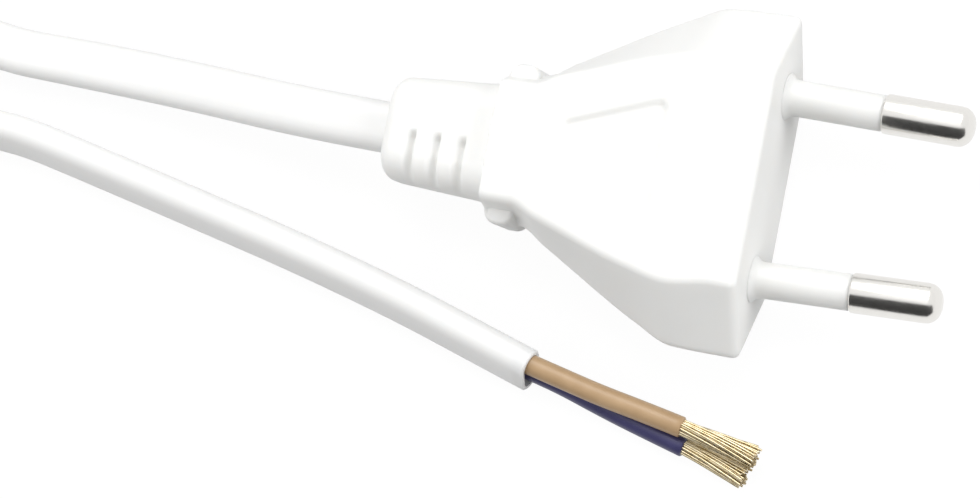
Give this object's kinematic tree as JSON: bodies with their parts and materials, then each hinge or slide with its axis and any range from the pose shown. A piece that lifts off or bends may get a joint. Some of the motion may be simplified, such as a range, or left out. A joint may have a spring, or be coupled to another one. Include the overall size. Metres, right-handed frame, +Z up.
{
  "type": "europlug with cord",
  "caption": "Flat moulded mains plug with two converging sleeved pins, finger lugs, strain relief and a flat lead whose far end is stripped.",
  "frame": {"origin": "middle of the plug's footprint, from the cord's exit to the pins' tips, on the surface that it lies on", "axes": "+X along the pins, towards their tips; +Y across the plug, towards the line pin; +Z up, through the broad flats"},
  "size_m": [0.2278, 0.0563, 0.0149],
  "materials": {
    "white_pvc": "satin moulded soft PVC",
    "sleeve_plastic": "smooth moulded insulation",
    "bridge_plastic": "hard moulded insert",
    "nickel_brass": "turned and nickel plated",
    "cord_pvc": "extruded PVC, satin",
    "brown_insulation": "extruded PVC, glossy",
    "blue_insulation": "extruded PVC, glossy",
    "copper_strands": "bare drawn wire",
    "tie_nylon": "moulded nylon"
  },
  "bodies": {
    "root": {"outer_moulding": "white_pvc", "pin_bridge": "bridge_plastic", "line_pin": "nickel_brass", "neutral_pin": "nickel_brass", "line_pin_sleeve": "sleeve_plastic", "neutral_pin_sleeve": "sleeve_plastic", "brown_inner_core": "brown_insulation", "blue_inner_core": "blue_insulation", "brown_crimped_wire": "copper_strands", "blue_crimped_wire": "copper_strands", "cord_sheath_end": "cord_pvc", "cord_lead": "cord_pvc", "cord_hank": "cord_pvc", "hank_tie": "tie_nylon", "cord_tail": "cord_pvc", "brown_stripped_core": "brown_insulation", "blue_stripped_core": "blue_insulation", "brown_bare_strands": "copper_strands", "blue_bare_strands": "copper_strands"}
  },
  "joints": []
}
